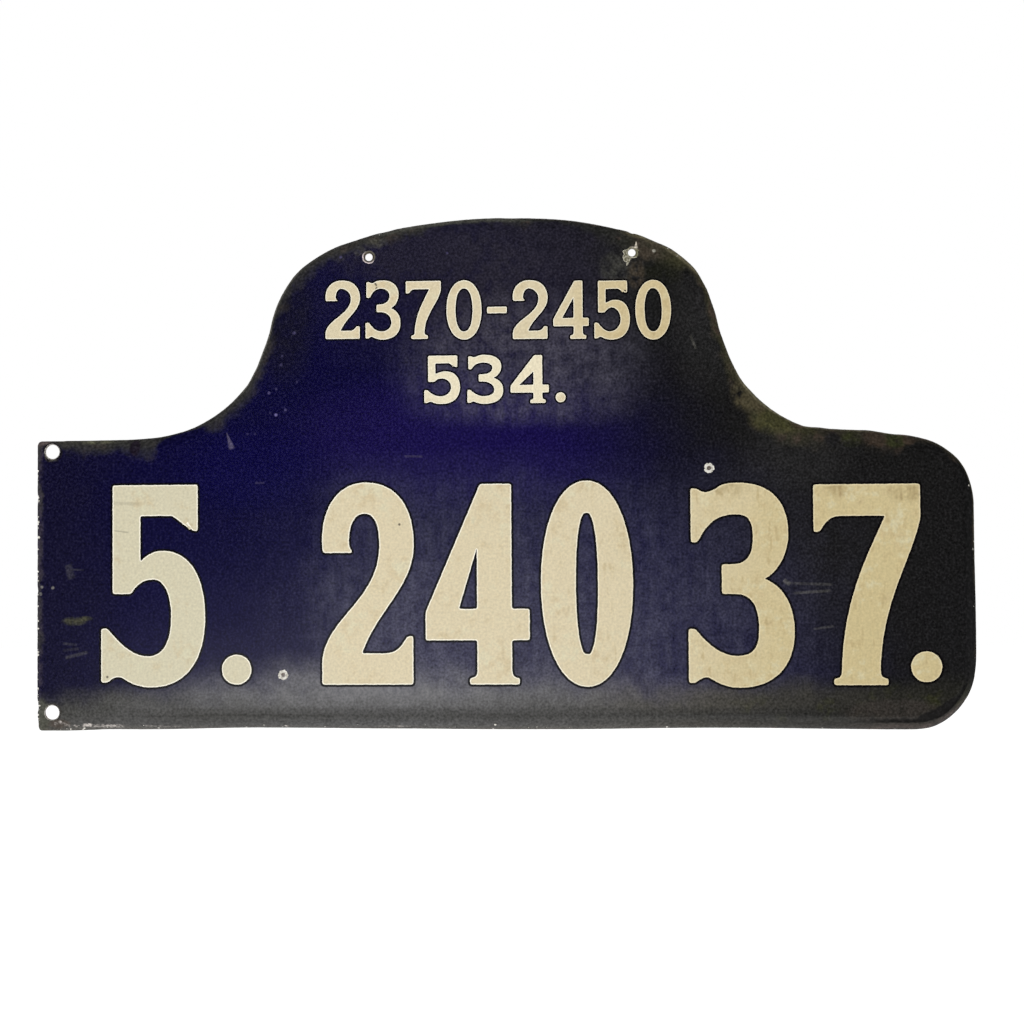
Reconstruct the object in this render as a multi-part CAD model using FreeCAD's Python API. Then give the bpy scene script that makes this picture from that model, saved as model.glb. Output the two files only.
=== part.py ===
import FreeCAD, Part
import os
from math import acos, atan2, copysign, cos, degrees, hypot, pi, radians, sin, sqrt
from FreeCAD import Vector

# Street name sign: one sheet of steel, pressed with a rounded hump along its top
# and its edges rolled back, then enamelled. Its left end stays flat, because that
# end is bolted to the post.
# Millimetres. X runs along the sign, Z is up, and the written face looks along -Y.
# The origin is the middle between the two end bolt holes, on the back of the sheet.

# Outline, measured from the flat left end and from the bottom edge
plate_length = 813.0
shoulder_height = 254.0
crown_height = 446.0
left_shoulder_length = 88.3
crown_radius = 456.5
left_swell_radius = 93.6
left_swell_offset = 109.7
left_hollow_radius = 118.7
right_swell_radius = 96.8
right_swell_offset = 94.9
right_hollow_radius = 110.9
shoulder_fall = 1.4
top_corner_radius = 60.4
bottom_corner_radius = 57.0
end_corner_radius = 4.0

# Sheet and its rolled edge
sheet_thickness = 1.6
roll_radius = 16.0
roll_turn = 60.0
flat_end_length = 24.0
run_out_length = 44.0

# Bolt holes at the flat end, and bolt holes in the hump
end_hole_diameter = 12.5
end_hole_setback = 13.2
end_hole_rise = 16.0
end_hole_drop = 9.4
hump_hole_diameter = 6.5
hump_hole_spacing = 228.6
hump_hole_shift = 1.3
hump_hole_drop = 34.2

# Two round dents that small shot has left in the face
dent_width = 4.4
dent_depth = 0.7
dent_places = [(217.5, 48.5), (586.9, 224.9)]

# Two points nearer than this are one point
touching = 1e-6


def swell_height(radius, offset):
    """Height of the centre of a swell that runs smoothly into the crown."""
    return crown_height - crown_radius + sqrt((crown_radius - radius) ** 2 - offset ** 2)


def hollow_offset(swell_radius, swell_offset, hollow_radius):
    """How far from the hump's middle a hollow has its centre, if it touches its swell."""
    rise = shoulder_height + hollow_radius - swell_height(swell_radius, swell_offset)
    return swell_offset + sqrt((swell_radius + hollow_radius) ** 2 - rise ** 2)


# Sizes that follow from those above
left_hollow_offset = hollow_offset(left_swell_radius, left_swell_offset, left_hollow_radius)
right_hollow_offset = hollow_offset(right_swell_radius, right_swell_offset, right_hollow_radius)
hump_middle = left_shoulder_length + left_hollow_offset
hump_hole_middle = hump_middle + hump_hole_shift
hump_hole_height = crown_height - hump_hole_drop
roll_width = roll_radius * sin(radians(roll_turn))
run_out_end = flat_end_length + run_out_length
face_y = -sheet_thickness
origin_x = end_hole_setback
end_hole_heights = [end_hole_rise, shoulder_height - end_hole_drop]
origin_z = sum(end_hole_heights) / 2


def at(x, z, y=0.0):
    """A point given by its distance from the left end and from the bottom edge."""
    return Vector(x - origin_x, y, z - origin_z)


def heading(angle):
    """The direction in the plane of the sign that makes this angle with +X."""
    return Vector(cos(angle), 0, sin(angle))


def outline_rounds():
    """Rounds of the outline from the left hollow clockwise: centre and radius.
    A hollow has its centre outside the sign, and its radius is negative."""
    corner_top = shoulder_height - shoulder_fall
    return [
        (at(left_shoulder_length, shoulder_height + left_hollow_radius), -left_hollow_radius),
        (at(hump_middle - left_swell_offset, swell_height(left_swell_radius, left_swell_offset)),
         left_swell_radius),
        (at(hump_middle, crown_height - crown_radius), crown_radius),
        (at(hump_middle + right_swell_offset, swell_height(right_swell_radius, right_swell_offset)),
         right_swell_radius),
        (at(hump_middle + right_hollow_offset, shoulder_height + right_hollow_radius),
         -right_hollow_radius),
        (at(plate_length - top_corner_radius, corner_top - top_corner_radius),
         top_corner_radius),
        (at(plate_length - bottom_corner_radius, bottom_corner_radius),
         bottom_corner_radius),
    ]


def common_normals(rounds):
    """Angle of the outward normal where each round gives way to the next one.
    Rounds that touch share it at one point, the others along a straight run."""
    angles = [pi / 2]
    for (centre, radius), (next_centre, next_radius) in zip(rounds, rounds[1:]):
        step = next_centre - centre
        lean = (radius - next_radius) / hypot(step.x, step.z)
        if abs(lean) > 1 - touching:
            lean = copysign(1, lean)
        angles.append(atan2(step.z, step.x) + acos(lean))
    angles.append(-pi / 2)
    return angles


def bend_path(inset):
    """The outline moved inwards, as runs of the form (kind, start, end, round)."""
    rounds = outline_rounds()
    angles = common_normals(rounds)
    runs = []
    here = at(run_out_end, shoulder_height - inset)
    for index, (centre, radius) in enumerate(rounds):
        first, last = angles[index], angles[index + 1]
        start = centre + heading(first) * (radius - inset)
        end = centre + heading(last) * (radius - inset)
        if (start - here).Length > touching:
            runs.append(("straight", here, start, (centre, first, first)))
        runs.append(("arc", start, end, (centre, first, last)))
        here = end
    corner = at(run_out_end, inset)
    runs.append(("straight", here, corner, (corner, -pi / 2, -pi / 2)))
    return runs


def path_edge(run):
    """One run of the path as an edge."""
    kind, start, end, (centre, first, last) = run
    if kind == "straight":
        return Part.LineSegment(start, end).toShape()
    reach = (start - centre).dot(heading(first))
    middle = centre + heading((first + last) / 2) * reach
    return Part.Arc(start, middle, end).toShape()


def polyline(points):
    """Straight edges from each point to the next."""
    return [Part.LineSegment(a, b).toShape() for a, b in zip(points, points[1:])]


def flat_sheet(path):
    """The flat of the sheet: all that lies inside the bend, and the whole left end."""
    corner = end_corner_radius
    slack = corner * (1 - sin(pi / 4))
    top = shoulder_height
    edges = [path_edge(run) for run in path]
    edges += polyline([
        at(run_out_end, roll_width), at(flat_end_length, roll_width),
        at(flat_end_length, 0), at(corner, 0),
    ])
    edges.append(Part.Arc(at(corner, 0), at(slack, slack), at(0, corner)).toShape())
    edges += polyline([at(0, corner), at(0, top - corner)])
    edges.append(Part.Arc(at(0, top - corner), at(slack, top - slack), at(corner, top)).toShape())
    edges += polyline([
        at(corner, top), at(flat_end_length, top),
        at(flat_end_length, top - roll_width), at(run_out_end, top - roll_width),
    ])
    face = Part.Face(Part.Wire(Part.__sortEdges__(edges)))
    face.translate(Vector(0, face_y, 0))
    return face.extrude(Vector(0, sheet_thickness, 0))


def bend_profile(foot, outward, turn):
    """Section of the rolled edge: front, cut edge, back and root, from the foot of the bend.
    It reaches as far out whatever its turn; with no turn it lies flat."""
    if turn == 0:
        reach = outward * roll_width
        front = foot + Vector(0, face_y, 0)
        return polyline([front, front + reach, foot + reach, foot, front])

    radius = roll_width / sin(turn)
    inner = radius - sheet_thickness
    axis = foot + Vector(0, face_y + radius, 0)

    def on_arc(arc_radius, angle):
        return axis + outward * (arc_radius * sin(angle)) - Vector(0, arc_radius * cos(angle), 0)

    front = Part.Arc(on_arc(radius, 0), on_arc(radius, turn / 2), on_arc(radius, turn)).toShape()
    lip = Part.LineSegment(on_arc(radius, turn), on_arc(inner, turn)).toShape()
    back = Part.Arc(on_arc(inner, turn), on_arc(inner, turn / 2), on_arc(inner, 0)).toShape()
    root = Part.LineSegment(on_arc(inner, 0), on_arc(radius, 0)).toShape()
    return [front, lip, back, root]


def rolled_edge(run):
    """The rolled edge along one run: turned about a round, or drawn along a straight."""
    kind, start, end, (centre, first, last) = run
    section = Part.Face(Part.Wire(bend_profile(start, heading(first), radians(roll_turn))))
    if kind == "straight":
        return section.extrude(end - start)
    return section.revolve(centre, Vector(0, 1, 0), degrees(first - last))


def run_out(edge_z, side, stations=7):
    """The rolled edge easing out to flat towards the left end, on the top or bottom edge."""
    outward = Vector(0, 0, side)
    last_turn = radians(roll_turn)
    sections = []
    for index in range(stations):
        share = index / (stations - 1)
        eased = share * share * (3 - 2 * share)
        x = flat_end_length + run_out_length * share
        sections.append(bend_profile(at(x, edge_z - side * roll_width), outward, last_turn * eased))
    return Part.makeLoft([Part.Wire(section) for section in sections], True, False)


def through_hole(x, z, diameter):
    """A round tool for a hole through the sheet."""
    return Part.makeCylinder(
        diameter / 2, 3 * sheet_thickness, at(x, z, -2 * sheet_thickness), Vector(0, 1, 0))


def dent_tools(x, z):
    """A ball to hollow the face and a cap of it, one sheet thicker, for the back."""
    ball_radius = (dent_width ** 2 / 4 + dent_depth ** 2) / (2 * dent_depth)
    middle = at(x, z, face_y + dent_depth - ball_radius)
    hollow = Part.makeSphere(ball_radius, middle)
    bulge = Part.makeSphere(ball_radius + sheet_thickness, middle)
    behind = Part.makeBox(4 * ball_radius, 4 * ball_radius, 4 * ball_radius)
    behind.translate(middle + Vector(-2 * ball_radius, 0, -2 * ball_radius))
    behind.translate(Vector(0, ball_radius + sheet_thickness / 2 - dent_depth, 0))
    return hollow, bulge.common(behind)


def sign_plate():
    path = bend_path(roll_width)
    pieces = [rolled_edge(run) for run in path]
    pieces += [run_out(shoulder_height, 1), run_out(0.0, -1)]
    plate = flat_sheet(path).fuse(pieces).removeSplitter()

    dents = [dent_tools(x, z) for x, z in dent_places]
    plate = plate.fuse([bulge for hollow, bulge in dents])
    cuts = [hollow for hollow, bulge in dents]
    cuts += [through_hole(end_hole_setback, z, end_hole_diameter) for z in end_hole_heights]
    for side in (-1, 1):
        x = hump_hole_middle + side * hump_hole_spacing / 2
        cuts.append(through_hole(x, hump_hole_height, hump_hole_diameter))
    return plate.cut(cuts).removeSplitter()


os.makedirs("parts", exist_ok=True)
plate = sign_plate()
plate.exportStep("parts/sign_plate.step")
print("sign_plate: solids", len(plate.Solids), "valid", plate.isValid(), "mm3", round(plate.Volume))
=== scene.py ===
import math
import random

import bpy
from mathutils import Matrix, Vector
from mathutils.geometry import delaunay_2d_cdt, tessellate_polygon
from mathutils.kdtree import KDTree


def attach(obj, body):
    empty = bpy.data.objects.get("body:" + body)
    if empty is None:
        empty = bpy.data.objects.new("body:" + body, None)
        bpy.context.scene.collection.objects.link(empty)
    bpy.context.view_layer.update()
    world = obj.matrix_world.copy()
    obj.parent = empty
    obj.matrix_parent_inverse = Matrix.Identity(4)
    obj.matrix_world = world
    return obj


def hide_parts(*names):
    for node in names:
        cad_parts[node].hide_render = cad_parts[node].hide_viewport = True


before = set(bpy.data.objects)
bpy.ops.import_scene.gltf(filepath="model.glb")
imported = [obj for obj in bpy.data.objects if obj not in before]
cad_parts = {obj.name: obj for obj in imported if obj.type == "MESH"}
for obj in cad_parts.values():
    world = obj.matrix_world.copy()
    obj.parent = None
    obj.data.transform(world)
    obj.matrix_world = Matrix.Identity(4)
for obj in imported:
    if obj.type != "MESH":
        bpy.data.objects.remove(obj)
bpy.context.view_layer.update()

# Enamelled sheet
# One sheet of steel, cut out as a flat blank. Its edge is then rolled back all the way
# round, except at the left end, which stays flat against the post. Glass enamel is fired
# on: a dark ground coat at the back, and dark blue over a pale coat at the front.
# The sizes are millimetres from the flat left end and from the bottom edge.

MM = 0.001
plate_length = 813.0
shoulder_height = 254.0
crown_height = 446.0
left_shoulder_length = 88.3
crown_radius = 456.5
swell_radii = (93.6, 96.8)
swell_offsets = (109.7, 94.9)
hollow_radii = (118.7, 110.9)
shoulder_fall = 1.4
top_corner_radius = 60.4
bottom_corner_radius = 57.0
end_corner_radius = 4.0
sheet_thickness = 1.6
roll_width = 13.856
full_turn = math.radians(60)
flat_end_length = 24.0
run_out_length = 44.0
# The frame's origin, from the left end and from the bottom edge
origin_x = 13.2
origin_z = 130.3
face_y = -sheet_thickness
blue_sink = 0.15
chip_sink = 0.32
BLUE, BACK, STEEL, PALE, RUST = range(5)


def swell_height(side):
    """How high a swell has its centre, if it touches the crown."""
    reach = math.sqrt((crown_radius - swell_radii[side]) ** 2 - swell_offsets[side] ** 2)
    return crown_height - crown_radius + reach


def hollow_offset(side):
    """How far from the hump's middle a hollow has its centre, if it touches its swell."""
    rise = shoulder_height + hollow_radii[side] - swell_height(side)
    return swell_offsets[side] + math.sqrt((swell_radii[side] + hollow_radii[side]) ** 2 - rise ** 2)


def outline_rounds():
    """Centre and radius of each round of the outline, clockwise from the upper left corner.
    A hollow has its centre outside the sheet, and its radius is negative."""
    middle = left_shoulder_length + hollow_offset(0)
    top = shoulder_height - shoulder_fall
    corner, low = top_corner_radius, bottom_corner_radius
    return [
        (end_corner_radius, shoulder_height - end_corner_radius, end_corner_radius),
        (left_shoulder_length, shoulder_height + hollow_radii[0], -hollow_radii[0]),
        (middle - swell_offsets[0], swell_height(0), swell_radii[0]),
        (middle, crown_height - crown_radius, crown_radius),
        (middle + swell_offsets[1], swell_height(1), swell_radii[1]),
        (middle + hollow_offset(1), shoulder_height + hollow_radii[1], -hollow_radii[1]),
        (plate_length - corner, top - corner, corner),
        (plate_length - low, low, low),
        (end_corner_radius, end_corner_radius, end_corner_radius),
    ]


def outline_stations(spacing):
    """Points along the outline with the direction that looks outwards at each: x, z, angle."""
    rounds = outline_rounds()
    changes = []
    for (x, z, radius), (next_x, next_z, next_radius) in zip(rounds, rounds[1:] + rounds[:1]):
        lean = (radius - next_radius) / math.hypot(next_x - x, next_z - z)
        turned = math.acos(max(-1.0, min(1.0, lean)))
        changes.append(math.atan2(next_z - z, next_x - x) + turned)
    stations = []
    for index, (x, z, radius) in enumerate(rounds):
        first, last = changes[index - 1], changes[index]
        if radius > 0 and last > first:
            last -= 2 * math.pi
        steps = max(2, round(abs(radius * (last - first)) / spacing))
        arc = []
        for step in range(steps + 1):
            angle = first + (last - first) * step / steps
            arc.append((x + radius * math.cos(angle), z + radius * math.sin(angle), angle))
        if stations:
            stations += run_between(stations[-1], arc[0], spacing)
            if math.dist(stations[-1][:2], arc[0][:2]) < 0.2:
                arc = arc[1:]
        stations += arc
    stations += run_between(stations[-1], stations[0], spacing)
    return stations


def run_between(start, end, spacing):
    """Points on the straight run between two stations, without its ends."""
    gap = math.hypot(end[0] - start[0], end[1] - start[1])
    count = int(gap / spacing)
    angle = end[2]
    return [
        (start[0] + (end[0] - start[0]) * step / count, start[1] + (end[1] - start[1]) * step / count, angle)
        for step in range(1, count)
    ]


def eased(value):
    value = max(0.0, min(1.0, value))
    return value * value * (3 - 2 * value)


def along(table, x):
    """The value at x of a line that runs smoothly through a few (x, value) pairs."""
    if x <= table[0][0]:
        return table[0][1]
    for (x0, value0), (x1, value1) in zip(table, table[1:]):
        if x <= x1:
            return value0 + (value1 - value0) * eased((x - x0) / (x1 - x0))
    return table[-1][1]


class Ripple:
    """A smooth uneven wave of fixed make, for edges that were cut and dipped by hand."""

    def __init__(self, seed, lengths):
        chance = random.Random(seed)
        self.waves = [(2 * math.pi / length, chance.uniform(0, 2 * math.pi)) for length in lengths]

    def at(self, distance):
        return sum(math.sin(rate * distance + start) for rate, start in self.waves) / len(self.waves)


class Skin:
    """Points in place, and the faces between them with a coat for each."""

    def __init__(self):
        self.places, self.faces, self.coats = [], [], []

    def face(self, corners, coat):
        self.faces.append(tuple(corners))
        self.coats.append(coat)

    def flat_face(self, corners, seen, coat, front):
        """A flat triangle, turned to the front or to the back, by its corners seen from the front."""
        (ax, az), (bx, bz), (cx, cz) = seen
        if ((bx - ax) * (cz - az) - (bz - az) * (cx - ax) > 0) != front:
            corners.reverse()
        self.face(corners, coat)

    def strip(self, first, second, coat):
        """Faces between two closed rings. The front is on the side that sees them run
        clockwise with the second ring outside the first."""
        for index in range(len(first)):
            after = (index + 1) % len(first)
            self.face((first[index], first[after], second[after], second[index]), coat)


class Blank(Skin):
    """The flat blank before its edge is rolled. Each point knows the foot of the bend that it
    belongs to, how far round the bend it goes, and how deep in the sheet it lies."""

    def __init__(self):
        super().__init__()
        self.outward, self.reach, self.share, self.turn = [], [], [], []
        self.depth, self.edge, self.wear = [], [], []

    def point(self, x, z, depth, outward=(0.0, 0.0), reach=roll_width, share=0.0, turn=0.0,
              edge=None, wear=0.0):
        if edge is None:
            edge = max(0.0, 1 - outline_tree.find((x, z, 0))[2] / edge_belt)
        self.places.append(((x - origin_x) * MM, 0.0, (z - origin_z) * MM))
        self.outward.append((outward[0], 0.0, outward[1]))
        self.reach.append(reach * MM)
        self.share.append(share)
        self.turn.append(turn)
        self.depth.append(depth * MM)
        self.edge.append(edge)
        self.wear.append(wear)
        return len(self.places) - 1

    def fill(self, outer, holes, coat, front, spacing=0.0, depth=0.0):
        """Flat faces inside a ring, around the rings of its holes, with a net of points between."""
        rings = []
        for ring in [outer] + holes:
            pairs = [(self.places[a], self.places[b]) for a, b in zip(ring, ring[1:] + ring[:1])]
            area = sum(a[0] * b[2] - b[0] * a[2] for a, b in pairs)
            rings.append(ring if area > 0 else ring[::-1])
        order = [index for ring in rings for index in ring]
        flat = [Vector((self.places[index][0] / MM + origin_x, self.places[index][2] / MM + origin_z))
                for index in order]
        sides, start = [], 0
        for ring in rings:
            sides.append(list(range(start, start + len(ring))))
            start += len(ring)
        if spacing:
            near = KDTree(len(flat))
            for index, point in enumerate(flat):
                near.insert((point.x, point.y, 0), index)
            near.balance()
            for row in range(1, int(crown_height / spacing)):
                for column in range(1, int(plate_length / spacing)):
                    x, z = (column + (row % 2) / 2) * spacing, row * spacing
                    if near.find((x, z, 0))[2] > spacing * 0.6:
                        flat.append(Vector((x, z)))
        places, _, faces, origins, _, owners = delaunay_2d_cdt(flat, [], sides, 1, 1e-5)
        made = {}
        for corners, owner in zip(faces, owners):
            if not owner or max(owner) > 0:
                continue
            for corner in corners:
                if corner not in made:
                    given = origins[corner]
                    if given and given[0] < len(order):
                        made[corner] = order[given[0]]
                    else:
                        made[corner] = self.point(places[corner].x, places[corner].y, depth)
            seen = [places[corner] for corner in corners]
            self.flat_face([made[corner] for corner in corners], seen, coat, front)

    def ring(self, x, z, radii, depth):
        """A closed ring round a point, clockwise, with a radius for each step."""
        points = []
        for index, radius in enumerate(radii):
            angle = -2 * math.pi * index / len(radii)
            points.append(self.point(x + radius * math.cos(angle), z + radius * math.sin(angle), depth))
        return points


# Bottom edge: how far it stands up from a straight line, as (x, rise)
edge_rise = [(20, 0.2), (98, 0.0), (197, 1.5), (320, 0.6), (430, 0.0), (602, 1.4), (739, 0.0)]
edge_nicks = Ripple(4, (5.1, 7.9, 13.7, 23.0))
# Crown: nicks in its edge, as (x, half width, depth)
crown_bites = [(309, 7, 0.5), (418, 9, 0.3), (523, 3, 0.8), (545, 12, 0.4), (583, 5, 0.5), (618, 6, 0.4)]
end_bites = Ripple(11, (6.3, 9.1, 17.0))
# Left edge: how far it is eaten in, as (z, depth)
end_dips = [(0, 1.2), (5, 1.2), (9, 1.0), (12, 0.3), (15.6, 0.1), (20, 1.2), (23, 0.9), (29, 0.0),
            (118, 0.0), (123, 0.5), (128, 0.0), (196, 0.0), (203, 0.4), (211, 0.0)]
# Upper edges and corners: how far they stand out from the drawn outline, by the distance
# travelled along it from its upper left corner
edge_drift = [
    (29.9, 0.0), (30, 0.2), (80, 1.2), (100, 2.0), (115, 1.8), (150, 0.8), (190, 0.1), (204, -0.3),
    (218, 0.6), (234, 1.4), (262, 0.1), (290, 0.3), (312, 0.8), (338, -0.2), (365, 0.2), (399, 0.9),
    (450, 0.2), (514, 0.0), (566, 1.0), (610, 0.4), (636, -0.6), (656, 0.4), (684, 1.2), (716, -1.1),
    (726, -0.9), (757, 1.2), (790, 0.5), (852, 0.2), (872, 3.0), (884, 3.5), (906, 3.3), (936, 0.1),
    (952, -0.7), (975, 0.2), (994, 1.1), (1024, 0.0), (1160, 0.0), (1176, -0.6), (1200, 0.0),
    (1238, 1.0), (1256, 0.0)]
# How far in from the outline the bend has its foot, as (x, width): next to nothing at the flat end
bend_inset = [(19.6, 2.2), (23.5, roll_width)]
# How far round the bend each ring lies, from the foot to the edge and back again behind
front_shares = [(step / 12) ** 1.35 for step in range(13)]
back_shares = [1 - step / 8 for step in range(9)]
# The belt along the outline in which the finishes know how far they are from it
edge_belt = 40.0
station_spacing = 2.0

stations = outline_stations(station_spacing)
outline_tree = KDTree(len(stations))
for index, (x, z, angle) in enumerate(stations):
    outline_tree.insert((x, z, 0), index)
outline_tree.balance()


def edge_wear(x, z):
    """How thickly the outline is chipped: most at the flat end and the corner below it."""
    worn = 0.004 if z < 250 else 0.0
    if x < 3:
        worn += 0.5 + 0.5 * eased((190 - z) / 80)
    if z < 5:
        worn += 0.10 * eased((170 - x) / 110) + 0.012
    if x > 805:
        worn += 0.03 * eased(1 - abs(z - 150) / 70)
    if z > 300:
        worn += 0.03 * eased(1 - abs(x - 560) / 40) + 0.02 * eased(1 - abs(x - 305) / 30)
    return min(worn, 1.0)


blank = Blank()
travel = 0.0
front_rings = [[] for _ in front_shares]
back_rings = [[] for _ in back_shares]
last_station = stations[-1]
for x, z, angle in stations:
    travel += math.hypot(x - last_station[0], z - last_station[1])
    last_station = (x, z, angle)
    outward = (math.cos(angle), math.sin(angle))
    inset = along(bend_inset, x)
    loss = 0.12 + 0.07 * edge_nicks.at(travel)
    if x < 1.0:
        loss += 0.35 * max(0.0, end_bites.at(travel) - 0.1)
    if x < 4.0 and z < 250:
        loss += along(end_dips, z) * (1 - x / 4.0)
    if z < 5 and outward[1] < -0.99:
        loss += along(edge_rise, x)
    loss -= along(edge_drift, travel)
    if z > 260:
        loss += 0.12 * max(0.0, end_bites.at(travel * 1.7))
        for bite_x, width, bite in crown_bites:
            loss += bite * max(0.0, 1 - abs(x - bite_x) / width) ** 0.6
    foot_x, foot_z = x - outward[0] * (inset + loss), z - outward[1] * (inset + loss)
    turn = eased((x - flat_end_length) / run_out_length)
    for ring, share in zip(front_rings, front_shares):
        edge = 1 - inset * (1 - share) / edge_belt
        wear = edge_wear(x, z) if share > 0.6 else 0.0
        ring.append(blank.point(
            foot_x, foot_z, blue_sink * (1 - 0.65 * share), outward, inset, share, turn, edge, wear))
    for ring, share in zip(back_rings, back_shares):
        edge = 1 - inset * (1 - share) / edge_belt
        ring.append(blank.point(foot_x, foot_z, sheet_thickness, outward, inset, share, turn, edge))

for first, second in zip(front_rings, front_rings[1:]):
    blank.strip(first, second, BLUE)
blank.strip(front_rings[-1], back_rings[0], BACK)
for first, second in zip(back_rings, back_rings[1:]):
    blank.strip(first, second, BACK)

# Bolt holes, shot dents and the enamel that has flaked off round them. The pair in the hump
# is drilled 1.3 mm to the right of its middle.
bolt_radius = 3.25
post_bolt_radius = 6.25
half_hole_gap = 114.3
hump_hole_height = crown_height - 34.2
hump_hole_middle = left_shoulder_length + hollow_offset(0) + 1.3
end_holes = [(origin_x, 16.0), (origin_x, 244.6)]
hump_holes = [(hump_hole_middle + side * half_hole_gap, hump_hole_height) for side in (-1, 1)]
shot_dents = [(217.5, 48.5), (586.9, 224.9)]
# The bulge behind a dent is part of a ball, with its centre this far before the face
bulge_radius = 5.407
bulge_centre = -4.707
front_openings, back_openings = [], []


def ragged(radius, seed, roughness, spikes=(), count=48):
    """Radii of an uneven round edge, with longer spikes at some angles: angle, length, width."""
    wave = Ripple(seed, (2.9, 4.7, 7.3, 12.0))
    radii = []
    for index in range(count):
        angle = -2 * math.pi * index / count
        length = radius + roughness * wave.at(index * 36.0 / count)
        for spike_angle, spike, width in spikes:
            off = math.remainder(angle - math.radians(spike_angle), 2 * math.pi) / math.radians(width)
            length += spike * math.exp(-off * off)
        radii.append(length)
    return radii


def kept_flat(x, z, radii):
    """The radii of a chip, cut short where it would run on to the bend."""
    kept = []
    for index, radius in enumerate(radii):
        angle = -2 * math.pi * index / len(radii)
        aim_x, aim_z = math.cos(angle), math.sin(angle)
        while outline_tree.find((x + radius * aim_x, z + radius * aim_z, 0))[2] < roll_width + 0.8:
            radius -= 0.05
        kept.append(radius)
    return kept


def step_in(rings, coats):
    """Faces from each ring to the next one inside it, with the coats from outside in."""
    for outer, inner, coat in zip(rings, rings[1:], coats):
        blank.strip(inner, outer, coat)


def open_hole(x, z, radius, chip_radii, broken, chip_coat):
    """A bolt hole through the sheet, in the middle of the chip round it. The enamel is broken
    down to the steel over the given width."""
    count = len(chip_radii)
    floor_radii = [max(length - broken, radius + 0.45) for length in chip_radii]
    rings = [blank.ring(x, z, radii, depth) for radii, depth in (
        (chip_radii, blue_sink), (floor_radii, chip_sink), ([radius + 0.25] * count, chip_sink),
        ([radius] * count, chip_sink + 0.25), ([radius] * count, sheet_thickness))]
    step_in(rings, (PALE, chip_coat, STEEL, STEEL))
    front_openings.append(rings[0])
    back_openings.append(rings[-1])


def shot_dent(x, z, chip_radii):
    """A round dent, bare in the middle, where the enamel has sprung off down to the pale coat."""
    rings = [blank.ring(x, z, chip_radii, blue_sink),
             blank.ring(x, z, [length - 0.2 for length in chip_radii], chip_sink)]
    for radius, depth in ((2.2, 0.36), (1.9, 0.48), (1.3, 0.64), (0.6, 0.74)):
        rings.append(blank.ring(x, z, [radius] * len(chip_radii), depth))
    step_in(rings, (PALE, PALE, PALE, STEEL, STEEL))
    blank.fill(rings[-1], [], STEEL, front=True)
    front_openings.append(rings[0])
    bulge = []
    for radius in (2.66, 2.1, 1.4, 0.6):
        depth = bulge_centre + math.sqrt(bulge_radius ** 2 - radius ** 2) - face_y
        bulge.append(blank.ring(x, z, [radius] * 24, depth))
    for outer, inner in zip(bulge, bulge[1:]):
        blank.strip(outer, inner, BACK)
    blank.fill(bulge[-1], [], BACK, front=False)
    back_openings.append(bulge[0])


for index, (x, z) in enumerate(end_holes):
    rubbed = ragged(6.9, seed=20 + index, roughness=0.1)
    open_hole(x, z, post_bolt_radius, rubbed, broken=0.3, chip_coat=RUST)
flaked = ragged(5.7, seed=31, roughness=0.3)
open_hole(*hump_holes[0], bolt_radius, flaked, broken=1.3, chip_coat=RUST)
spikes = [(20, 0.9, 20), (68, 2.6, 14), (172, 2.6, 18), (212, 4.0, 20), (233, 3.4, 12), (248, 6.6, 7),
          (330, 0.8, 30)]
spiked = kept_flat(*hump_holes[1], ragged(4.9, seed=37, roughness=0.5, spikes=spikes, count=96))
open_hole(*hump_holes[1], bolt_radius, spiked, broken=1.0, chip_coat=PALE)
for index, (x, z) in enumerate(shot_dents):
    shot_dent(x, z, ragged(4.3, seed=41 + index, roughness=0.7))

blank.fill(front_rings[0], front_openings, BLUE, front=True, spacing=7.0, depth=blue_sink)
blank.fill(back_rings[-1], back_openings, BACK, front=False, spacing=14.0, depth=sheet_thickness)

# Finishes of the sheet
# What enamel and steel look like, drawn as nodes in millimetres on the sheet. A sum written
# on a value that changes from place to place becomes Math nodes.


def both_ways(operation):
    """A sum with the value on its left, and the same sum with the value on its right."""
    return (lambda value, other: value.sum(operation, value, other),
            lambda value, other: value.sum(operation, other, value))


class Signal:
    """A value that changes from place to place. Sums written on it become nodes."""

    __add__, __radd__ = both_ways("ADD")
    __sub__, __rsub__ = both_ways("SUBTRACT")
    __mul__, __rmul__ = both_ways("MULTIPLY")
    __truediv__, __rtruediv__ = both_ways("DIVIDE")
    __pow__, __rpow__ = both_ways("POWER")

    def __init__(self, tree, socket):
        self.tree = tree
        self.socket = socket

    def sum(self, operation, *values):
        """The result of one Math node on a few values."""
        node = self.tree.nodes.new("ShaderNodeMath")
        node.operation = operation
        for socket, value in zip(node.inputs, values):
            connect(self.tree, socket, value)
        return Signal(self.tree, node.outputs[0])

    def least(self, other):
        return self.sum("MINIMUM", self, other)

    def most(self, other):
        return self.sum("MAXIMUM", self, other)

    def size(self):
        return self.sum("ABSOLUTE", self)

    def rise(self, low, high):
        """0 below low, 1 above high, and a smooth rise between them."""
        node = self.tree.nodes.new("ShaderNodeMapRange")
        node.interpolation_type = "SMOOTHSTEP"
        connect(self.tree, node.inputs["Value"], self)
        node.inputs["From Min"].default_value = low
        node.inputs["From Max"].default_value = high
        return Signal(self.tree, node.outputs["Result"])

    def fall(self, low, high):
        """1 below low, 0 above high."""
        return 1 - self.rise(low, high)


def connect(tree, socket, value):
    """Gives a socket a fixed value or the output of another node."""
    if isinstance(value, Signal):
        tree.links.new(value.socket, socket)
    else:
        socket.default_value = value


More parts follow.
